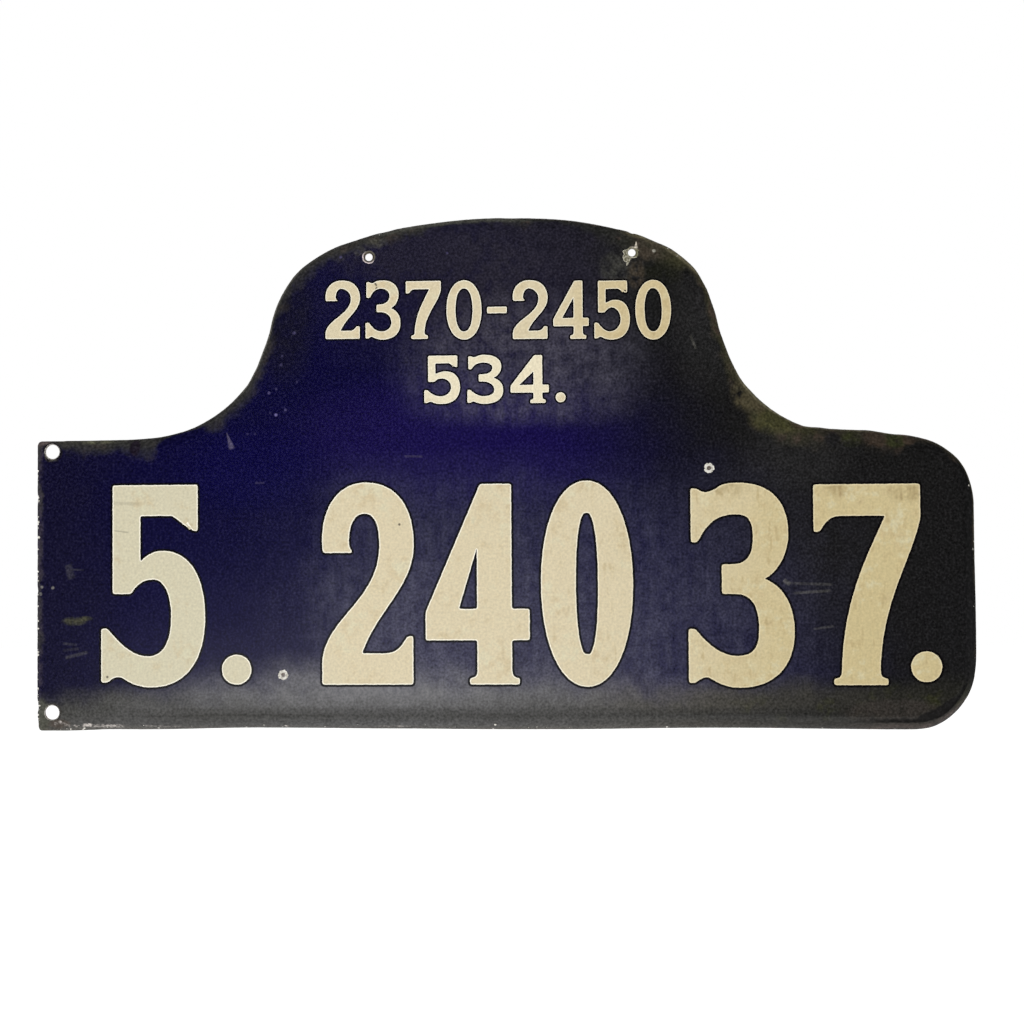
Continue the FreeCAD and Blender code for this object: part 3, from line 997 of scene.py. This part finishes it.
def scatter_chips(piece, sizes):
    """Scatters small flat chips over the sheet where its edge is worn."""
    sheet = ShapeTree("scatter_chips", sizes)
    density, smallest, largest, thickness = sheet.sizes
    spread = sheet.tree.nodes.new("GeometryNodeDistributePointsOnFaces")
    for name, value in (("Mesh", sheet.given), ("Density", sheet.stored("wear") * density), ("Seed", 5)):
        connect(sheet.tree, spread.inputs[name], value)
    points, turned = [Signal(sheet.tree, spread.outputs[name]) for name in ("Points", "Rotation")]
    width, length = [
        sheet.node("FunctionNodeRandomValue", {"data_type": "FLOAT"}, {2: low, 3: high, "Seed": seed}, 1)
        for low, high, seed in ((0.0, 1.0, 8), (0.6, 1.7, 9))]
    width = smallest + (largest - smallest) * width * width * width
    size = sheet.node("ShaderNodeCombineXYZ", sockets={"X": width * length, "Y": width, "Z": thickness})
    flake = sheet.node("GeometryNodeMeshIcoSphere", sockets={"Radius": 1.0, "Subdivisions": 1}, output="Mesh")
    geometry = sheet.node("GeometryNodeInstanceOnPoints", sockets={
        "Points": points, "Instance": flake, "Rotation": turned, "Scale": size})
    geometry = sheet.node("GeometryNodeRealizeInstances", sockets={"Geometry": geometry})
    nearest = sheet.node("GeometryNodeProximity", {"target_element": "FACES"}, {0: sheet.given}, "Position")
    normal = sheet.node("GeometryNodeSampleNearestSurface", {"data_type": "FLOAT_VECTOR"}, {
        "Mesh": sheet.given, "Value": sheet.node("GeometryNodeInputNormal")}, "Value")
    proud = sheet.vector("SUBTRACT", {0: sheet.node("GeometryNodeInputPosition"), 1: nearest})
    proud = sheet.vector("DOT_PRODUCT", {0: proud, 1: normal}, "Value")
    height = proud.least(thickness).most(thickness * -1.0)
    lift = sheet.vector("SCALE", {"Vector": normal, "Scale": height})
    settled = sheet.vector("ADD", {0: nearest, 1: lift})
    geometry = sheet.node("GeometryNodeSetPosition", sockets={"Geometry": geometry, "Position": settled})
    geometry = sheet.node("GeometryNodeSetMaterial", sockets={
        "Geometry": geometry, "Material": coat_finishes[PALE]})
    sheet.shape(piece, geometry, sizes)


edge_chips = in_scene("edge_chips", sheet_mesh.copy())
scatter_chips(edge_chips, {"Chips": 300000.0, "Smallest": 0.00025, "Largest": 0.0012, "Thickness": 0.00004})
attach(edge_chips, "root")

# Pale figures
# Plain numbers in pale enamel, laid out as three lines. Each figure is cut through a
# stencil, so its edges are a little uneven, with a thick light rim that is partly a painted highlight, and a
# dark line outside that is painted shade.
# A figure is drawn in a box w wide and h high, from the widths of its stems and arms, the
# thickness of its serifs and how far they reach. A move is the end of a straight run, or
# the two handles and the end of a curve.


def spur(x, z, side, up, thick, rise):
    """From the straight side of an arm round to the tip of the spur at its end."""
    return [
        (x - side * (thick + rise * 1.25), z),
        (x - side * (thick + rise * 0.6), z, x - side * (thick + rise * 0.25), z + up * rise * 0.45,
         x - side * thick, z + up * rise * 0.95),
        (x - side * thick * 0.8, z + up * rise),
        (x, z + up * rise),
    ]


def foot(right, left, z, up, thick, reach):
    """Down the right side of a stem, round its serif, and on to its left side. Where up is -1
    the stem hangs from its serif, and right and left change places."""
    side = 1 if right > left else -1
    top = z + up * thick
    return [
        (right, top + up * reach * 0.9),
        (right, top + up * reach * 0.3, right + side * reach * 0.3, top, right + side * reach * 0.8, top),
        (right + side * reach, top),
        (right + side * reach, z),
        (left - side * reach, z),
        (left - side * reach, top),
        (left - side * reach * 0.8, top),
        (left - side * reach * 0.3, top, left, top + up * reach * 0.3, left, top + up * reach * 0.9),
    ]


def oval(x, z, half_width, half_height, fullness):
    """Four curves from the top round to the top again. A fuller one has straighter sides."""
    across, upward = half_width * 0.58, half_height * fullness
    return [
        (x, z + half_height),
        (x + across, z + half_height, x + half_width, z + upward, x + half_width, z),
        (x + half_width, z - upward, x + across, z - half_height, x, z - half_height),
        (x - across, z - half_height, x - half_width, z - upward, x - half_width, z),
        (x - half_width, z + upward, x - across, z + half_height, x, z + half_height),
    ]


def figure_0(w, h, stem, arm, thick, reach):
    over = 0.012 * h
    outer = oval(w / 2, h / 2, w / 2, h / 2 + over, 0.60)
    inner = oval(w / 2, h / 2, w / 2 - stem, h / 2 + over - arm, 0.68)
    return [outer, inner]


def figure_2(w, h, stem, arm, thick, reach):
    over, rise = 0.012 * h, 0.55 * arm
    return [[
        (0.01 * w, 0), (0.01 * w, 0.75 * arm),
        (0.05 * w, 0.34 * h, w - stem, 0.42 * h, w - stem, 0.70 * h),
        (w - stem, 0.80 * h, w * 0.58, h + over - arm, w * 0.47, h + over - arm),
        (w * 0.36, h + over - arm, 0.30 * w, 0.80 * h, 0.30 * w, 0.70 * h),
        (0.30 * w + thick * 0.6, 0.66 * h), (0.02 * w, 0.66 * h),
        (-0.03 * w, 0.87 * h, 0.17 * w, h + over, 0.48 * w, h + over),
        (0.80 * w, h + over, w, 0.90 * h, w, 0.70 * h),
        (w, 0.49 * h, 0.60 * w, 0.37 * h, 0.44 * w, arm),
    ] + spur(0.99 * w, arm, 1, 1, thick, rise) + [(0.99 * w, 0)]]


def tail(w, h, thick):
    """The lower left end of a 3 or a 5, from its underside round to the inside of the bowl."""
    return [
        (0.37 * w, -0.012 * h, 0.29 * w, 0.006 * h, 0.22 * w, 0.030 * h),
        (0.17 * w, 0.047 * h, 0.13 * w, 0.045 * h, thick, 0.012 * h),
        (0, 0.012 * h), (0, 0.282 * h), (thick, 0.282 * h),
    ]


def figure_3(w, h, stem, arm, thick, reach):
    over, tip = 0.012 * h, 0.27 * h
    waist = 0.53 * h
    half = arm * 0.47
    return [[
        (0.03 * w, h * 0.985), (0.03 * w + thick, h * 0.985),
        (0.15 * w, h * 0.955, 0.20 * w, h * 0.965, 0.26 * w, h * 0.98),
        (0.33 * w, h + over * 0.8, 0.39 * w, h + over, 0.48 * w, h + over),
        (0.78 * w, h + over, 0.95 * w, 0.92 * h, 0.95 * w, 0.76 * h),
        (0.95 * w, 0.65 * h, 0.84 * w, 0.56 * h, 0.72 * w, waist),
        (0.88 * w, 0.50 * h, w, 0.41 * h, w, 0.27 * h),
        (w, 0.09 * h, 0.80 * w, -over, 0.48 * w, -over),
    ] + tail(w, h, thick) + [
        (0.17 * w, 0.21 * h, 0.30 * w, arm - over, 0.46 * w, arm - over),
        (0.60 * w, arm - over, w - stem, 0.18 * h, w - stem, 0.28 * h),
        (w - stem, 0.38 * h, 0.62 * w, waist - half, 0.44 * w, waist - half),
        (0.32 * w, waist - half), (0.32 * w, waist + half), (0.42 * w, waist + half),
        (0.56 * w, waist + half, 0.95 * w - stem, 0.65 * h, 0.95 * w - stem, 0.74 * h),
        (0.95 * w - stem, 0.82 * h, 0.58 * w, h + over - arm, 0.46 * w, h + over - arm),
        (0.31 * w, h + over - arm, 0.20 * w, 0.83 * h, 0.03 * w + thick, 0.985 * h - tip),
        (0.03 * w, 0.985 * h - tip),
    ]]


def figure_4(w, h, stem, arm, thick, reach):
    right = w - 0.17 * w
    left = right - stem
    bar = 0.22 * h
    slant = 0.86 * stem
    return [[
        (left + 0.1 * stem, h), (right, h), (right, bar + arm), (w, bar + arm), (w, bar), (right, bar),
    ] + foot(right, left, 0, 1, thick, reach) + [
        (left, bar), (0, bar), (0, bar + arm * 0.9),
    ], [
        (slant * 1.12, bar + arm), (left, bar + arm), (left, h - slant * 2.15),
    ]]


def figure_5(w, h, stem, arm, thick, reach):
    over = 0.012 * h
    post = 0.11 * w
    inner = post + stem * 0.82
    under = 0.67 * h - arm * 0.92
    return [[
        (post, h), (0.93 * w, h),
    ] + spur(0.93 * w, h - arm, 1, -1, thick, 0.5 * arm)[::-1] + [
        (inner, h - arm), (inner, 0.615 * h),
        (0.44 * w, 0.655 * h, 0.52 * w, 0.67 * h, 0.59 * w, 0.67 * h),
        (0.84 * w, 0.67 * h, w, 0.55 * h, w, 0.34 * h),
        (w, 0.11 * h, 0.80 * w, -over, 0.48 * w, -over),
    ] + tail(w, h, thick) + [
        (0.17 * w, 0.21 * h, 0.30 * w, arm - over, 0.45 * w, arm - over),
        (0.59 * w, arm - over, w - stem, 0.21 * h, w - stem, 0.34 * h),
        (w - stem, 0.46 * h, 0.60 * w, under, 0.50 * w, under),
        (0.41 * w, under, 0.33 * w, 0.50 * h, 0.29 * w, 0.455 * h),
        (post, 0.455 * h),
    ]]


def figure_7(w, h, stem, arm, thick, reach):
    left = 0.25 * w
    right = left + stem * 1.08
    return [[
        (0, h), (w, h), (w, 0.83 * h),
        (0.90 * w, 0.60 * h, right + 0.02 * w, 0.42 * h, right, thick + reach * 0.9),
    ] + foot(right, left, 0, 1, thick, reach)[1:] + [
        (left + 0.02 * w, 0.44 * h, 0.52 * w, 0.66 * h, 0.67 * w, h - arm),
    ] + spur(0, h - arm, -1, -1, thick, 0.5 * arm)]


def dash(w, h, stem, arm, thick, reach):
    low, high = 0.5 * h - arm * 0.4, 0.5 * h + arm * 0.4
    return [[(0, low), (0, high), (w, high), (w, low)]]


def dot(w, h, stem, arm, thick, reach):
    return [oval(w / 2, w / 2, w / 2, w / 2, 0.552)]


figures = {"0": figure_0, "2": figure_2, "3": figure_3, "4": figure_4, "5": figure_5, "7": figure_7,
           "-": dash, ".": dot}


def drawn_line(moves, step):
    """Evenly spaced points along a closed outline of straight runs and single curves."""
    points = []
    here = Vector(moves[-1][-2:])
    for move in moves:
        there = Vector(move[-2:])
        if len(move) == 2:
            count = max(1, round((there - here).length / step))
            points += [here.lerp(there, index / count) for index in range(1, count + 1)]
        else:
            first, second = Vector(move[0:2]), Vector(move[2:4])
            length = (first - here).length + (second - first).length + (there - second).length
            count = max(2, round(length / step))
            for index in range(1, count + 1):
                t = index / count
                points.append(here * (1 - t) ** 3 + first * (3 * t * (1 - t) ** 2)
                              + second * (3 * t * t * (1 - t)) + there * t ** 3)
        here = there
    return [point for index, point in enumerate(points) if (point - points[index - 1]).length > step * 0.3]


def softened(points, rounds):
    """The outline with its corners rounded a little more in each round."""
    for _ in range(rounds):
        points = [
            (points[index - 1] + point * 2 + points[(index + 1) % len(points)]) / 4
            for index, point in enumerate(points)
        ]
    return points


def pushed_out(points, distances):
    """The outline moved to its left by a distance for each point."""
    moved = []
    for index, point in enumerate(points):
        tangent = (points[(index + 1) % len(points)] - points[index - 1]).normalized()
        moved.append(point + Vector((-tangent.y, tangent.x)) * distances[index])
    return moved


FIGURE, DARK = range(2)


class FigureSheet(Skin):
    """The mesh of one line of figures. Each point knows how far it belongs to the light rim,
    partly a painted highlight, and to the dark line, painted shade."""

    def __init__(self):
        super().__init__()
        self.rim, self.shade = [], []

    def ring(self, outline, depth, rim, shade):
        start = len(self.places)
        for point in outline:
            self.places.append(((point.x - origin_x) * MM, (face_y + depth) * MM, (point.y - origin_z) * MM))
            self.rim.append(rim)
            self.shade.append(shade)
        return list(range(start, len(self.places)))

    def fill(self, rings, front, coat):
        order = [index for ring in rings for index in ring]
        flat = [[Vector((self.places[index][0], self.places[index][2], 0)) for index in ring]
                for ring in rings]
        for corners in tessellate_polygon(flat):
            picked = [order[corner] for corner in corners]
            self.flat_face(picked, [self.places[index][::2] for index in picked], coat, front)

    def add(self, contours, step, roughness, rim_width, line_width, seed):
        """One figure: its pale face, the rim that slopes down to the blue, and the dark line
        that slopes on below the blue to a back of its own."""
        fronts, backs = [], []
        for number, contour in enumerate(contours):
            points = softened(drawn_line(contour, step), 3)
            area = sum(a.x * b.y - b.x * a.y for a, b in zip(points, points[1:] + points[:1]))
            if (area > 0) == (number == 0):
                points.reverse()
            wave = Ripple(seed + number, (3.1, 5.3, 9.7, 16.0))
            points = pushed_out(points, [roughness * wave.at(index * step) for index in range(len(points))])
            inner, middle, outer = [
                pushed_out(points, [distance] * len(points))
                for distance in (-rim_width, line_width, line_width * 1.7)]
            rings = [self.ring(*level) for level in (
                (inner, 0.0, 0.0, 0.0), (points, blue_sink - 0.04, 1.0, 1.0),
                (points, blue_sink - 0.02, 1.0, 1.0), (middle, blue_sink - 0.015, 0.0, 1.0),
                (outer, blue_sink - 0.01, 0.0, 0.0), (inner, blue_sink + 0.4, 0.0, 0.0))]
            for first, second, coat in zip(rings, rings[1:], (FIGURE, FIGURE, DARK, DARK, DARK)):
                self.strip(first, second, coat)
            fronts.append(rings[0])
            backs.append(rings[-1])
        self.fill(fronts, True, FIGURE)
        self.fill(backs, False, DARK)


def cream_enamel():
    """Pale enamel gone cream, thumbed and streaked by weather, with small dark pits. It is darker and
    yellower towards the right, partly from weathering and partly as a painted fall-off of the light.
    """
    coat = Finish("cream_enamel", paint(206, 200, 174))
    broad = coat.cloud(34, 21) - 0.5
    streaks = coat.cloud(3.0, 22, stretch=(1, 1, 6)) - 0.5
    mottle = coat.cloud(7, 24) - 0.5
    grain = coat.cloud(2.1, 23, detail=1, roughness=0.5) - 0.5
    x = coat.x + broad * 120
    worn = coat.x.rise(400, 640)
    weathered = (streaks * 1.6 + mottle).rise(0.05, 0.5) * (0.15 + worn * 0.55)
    stain = coat.patches((757, 206, 24, 15), (696, 206, 14, 9), (604, 206, 20, 9, 0.7))
    lines = coat.marks(
        ((68, 175), (82, 173), 0.9, 0.35), ((297, 393), (301, 386), 1.3, 0.9),
        ((301, 386), (299, 379), 1.2, 0.9), ((64, 199), (92, 198), 2.2, 0.18))
    pits = coat.spots((319.6, 178.4, 1.5), (305, 96, 1.3), (62.4, 47.0, 1.5), (614, 96, 1.1))
    # The light rim round each figure: partly a painted highlight
    rim_highlight = coat.mix(paint(248, 244, 228), (paint(232, 220, 184), worn))
    # Darker and yellower towards the right: partly weathering, partly a painted fall-off of the light from
    # the left
    for colour, share in (
            (paint(214, 202, 171), x.rise(150, 290)),
            (paint(201, 186, 141), x.rise(480, 700)),
            (paint(196, 178, 140), (mottle + broad).rise(0.05, 0.35) * 0.5),
            (paint(212, 210, 182), (broad - mottle).rise(0.05, 0.35) * 0.5),
            (paint(194, 174, 122), coat.island(545, 365, 100, 60).rise(0.1, 0.8) * 0.5),
            (paint(240, 232, 206), coat.island(400, 305, 90, 30).rise(0.0, 0.3) * 0.6),
            (paint(176, 158, 116), weathered),
            (paint(150, 130, 88), (stain * (0.3 + mottle * 2 + streaks)).least(0.6)),
            (paint(44, 36, 28), (lines + pits).least(1.0) * 0.85),
            (rim_highlight, coat.stored("rim").rise(0.05, 0.75) * (1 - worn * 0.3))):
        coat.lay(colour, share)
    coat.shade((1 + grain * 0.42 + streaks * (0.06 + worn * 0.14)).most(0.4))
    return coat.surface(0.34 - mottle * 0.2, 0.0, coat.bump(mottle * 0.5 + grain * 0.1, 0.15))


figure_finish = cream_enamel()


def figure_line(name, words, stem, arm, thick, reach, step, roughness, rim_width, line_width, seed):
    """One line of figures as one piece. Each figure gives its text, left side, base, width and
    height, and the line gives the width of its stems, arms, serifs, rims and dark lines."""
    sheet = FigureSheet()
    for index, (word, left, base, width, height) in enumerate(words):
        contours = figures[word](width, height, stem, arm, thick, reach)
        placed = [[tuple(value + (left, base)[place % 2] for place, value in enumerate(move))
                   for move in contour] for contour in contours]
        sheet.add(placed, step, roughness, rim_width, line_width, seed + 7 * index)
    mesh = bpy.data.meshes.new(name)
    mesh.from_pydata(sheet.places, [], sheet.faces)
    store(mesh, "rim", "FLOAT", "POINT", "value", sheet.rim)
    store(mesh, "shade", "FLOAT", "POINT", "value", sheet.shade)
    mesh.materials.append(figure_finish)
    mesh.materials.append(coat_finishes[BLUE])
    for polygon, coat in zip(mesh.polygons, sheet.coats):
        polygon.material_index = coat
        polygon.use_smooth = False
    piece = in_scene(name, mesh)
    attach(piece, "root")


figure_line("large_figures", [
    ("5", 57.0, 40.0, 92.0, 174.5), (".", 163.7, 40.2, 26.0, 0),
    ("2", 251.0, 40.0, 81.0, 173.0), ("4", 342.0, 40.0, 90.0, 173.0), ("0", 442.0, 40.0, 79.0, 173.0),
    ("3", 568.0, 39.0, 90.0, 171.0), ("7", 675.0, 39.0, 90.0, 171.0), (".", 755.6, 41.4, 26.0, 0),
], stem=30.0, arm=27.0, thick=5.6, reach=6.6, step=1.2, roughness=0.22, rim_width=1.5, line_width=1.35,
    seed=100)

upper_words = []
line_start, line_length, line_drop = 255.5, 297, 4.2
left = line_start
for word in "2370-2450":
    width = 17.0 if word == "-" else 30.5
    base = 340.6 - line_drop * (left - line_start) / line_length
    upper_words.append((word, left, base, width, 50.4))
    left += width + 4.9
figure_line("upper_figures", upper_words, stem=7.8, arm=7.0, thick=3.0, reach=3.0, step=0.6,
            roughness=0.12, rim_width=1.0, line_width=1.05, seed=200)

figure_line("middle_figures", [
    ("5", 342.0, 283.2, 31.0, 41.5), ("3", 379.5, 282.9, 31.0, 41.5), ("4", 417.0, 282.6, 33.0, 41.5),
    (".", 455.9, 283.0, 8.6, 0),
], stem=7.6, arm=6.6, thick=2.8, reach=2.8, step=0.6, roughness=0.12, rim_width=1.0, line_width=1.05,
    seed=300)

# Studio
# A pale floor well below the sign. Dark curtains before, beside and above it, seen only in
# the gloss of the enamel, so that the face shows its own colour. Soft lamps in front, one
# above and behind, and a low strip that gives the bottom edge its line of light.


def stage_plane(name, corners, finish):
    mesh = bpy.data.meshes.new(name)
    mesh.from_pydata(corners, [], [(0, 1, 2, 3)])
    mesh.materials.append(finish)
    plane = in_scene(name, mesh)
    return plane


def background_ray(sheet):
    """1 for rays that see the background: from the camera, from gloss and through glass."""
    rays = sheet.tree.nodes.new("ShaderNodeLightPath")
    seen = Signal(sheet.tree, rays.outputs["Is Camera Ray"])
    for ray in ("Is Glossy Ray", "Is Transmission Ray"):
        seen = seen.most(Signal(sheet.tree, rays.outputs[ray]))
    return seen


def stage_finish(name, colour, glow):
    material = bpy.data.materials.new(name)
    material.use_nodes = True
    sheet = NodeSheet(material.node_tree)
    lit = sheet.node("ShaderNodeCombineColor", sockets=dict.fromkeys(
        ("Red", "Green", "Blue"), background_ray(sheet) * glow))
    shader = sheet.node("ShaderNodeBsdfPrincipled", sockets={
        "Base Color": colour, "Roughness": 0.8, "Specular IOR Level": 0.0,
        "Emission Color": lit, "Emission Strength": 1.0})
    sheet.node("ShaderNodeOutputMaterial", sockets={"Surface": shader})
    return material


floor_z = -1.3
stage_plane("floor", [(-9, -6, floor_z), (10, -6, floor_z), (10, 12, floor_z), (-9, 12, floor_z)],
            stage_finish("floor_paint", paint(245, 245, 245), 0.75))
curtain_cloth = stage_finish("curtain_cloth", paint(12, 12, 13), 0.0)
west, east, south, north, top = -2.8, 3.6, -2.7, 6.0, 3.0


def upright(start, end):
    """The corners of a curtain that hangs between two places on the floor."""
    return [(*start, floor_z), (*end, floor_z), (*end, top), (*start, top)]


for name, corners in (
        ("curtain_before", upright((west, south), (east, south))),
        ("curtain_left", upright((west, south), (west, north))),
        ("curtain_right", upright((east, south), (east, north))),
        ("curtain_above", [(west, south, top), (east, south, top), (east, north, top), (west, north, top)])):
    curtain = stage_plane(name, corners, curtain_cloth)
    curtain.visible_camera = False
    curtain.visible_diffuse = False
    curtain.visible_shadow = False


def soft_lamp(name, place, aim, size, height, power, colour):
    light = bpy.data.lights.new(name, "AREA")
    light.shape = "RECTANGLE"
    light.size = size
    light.size_y = height
    light.energy = power
    light.color = colour
    lamp = in_scene(name, light)
    lamp.location = place
    lamp.rotation_euler = (Vector(aim) - Vector(place)).to_track_quat("-Z", "Y").to_euler()
    return lamp


middle = (0.35, 0, 0.05)
soft_lamp("key", (-0.7, -2.4, 0.75), middle, 1.6, 1.2, 33, (1.0, 0.99, 0.97)).visible_glossy = False
soft_lamp("fill", (1.7, -2.4, 0.6), middle, 1.2, 1.2, 13, (1.0, 0.95, 0.87)).visible_glossy = False
soft_lamp("behind", (0.9, 2.2, 1.6), middle, 1.6, 1.2, 45, (1.0, 0.98, 0.95))
soft_lamp("low_strip", (-0.1, -2.2, -0.42), (0.28, 0, -0.09), 1.3, 0.16, 4.0, (1.0, 0.99, 0.98))

world = bpy.data.worlds.new("studio")
world.use_nodes = True
bpy.context.scene.world = world
sky = NodeSheet(world.node_tree)
dim, white = [sky.node("ShaderNodeBackground", sockets={"Color": (1, 1, 1, 1), "Strength": strength})
              for strength in (0.4, 1.0)]
sky.node("ShaderNodeOutputWorld", sockets={
    "Surface": sky.node("ShaderNodeMixShader", sockets={0: background_ray(sky), 1: dim, 2: white})})

# Camera, at the photograph's place before the sign
camera_data = bpy.data.cameras.new("camera")
camera_data.lens = 38.67
camera_data.sensor_width = 36.0
camera = in_scene("camera", camera_data)
right = Vector((0.99915, 0.04065, -0.00709))
up = Vector((0.00789, -0.01937, 0.99978))
forward = Vector((-0.0405, 0.99899, 0.01967))
camera.matrix_world = Matrix.Translation((0.4427, -0.9504, 0.0395)) @ Matrix(
    (right, up, -forward)).transposed().to_4x4()
bpy.context.scene.camera = camera
bpy.context.scene.view_settings.view_transform = "Standard"
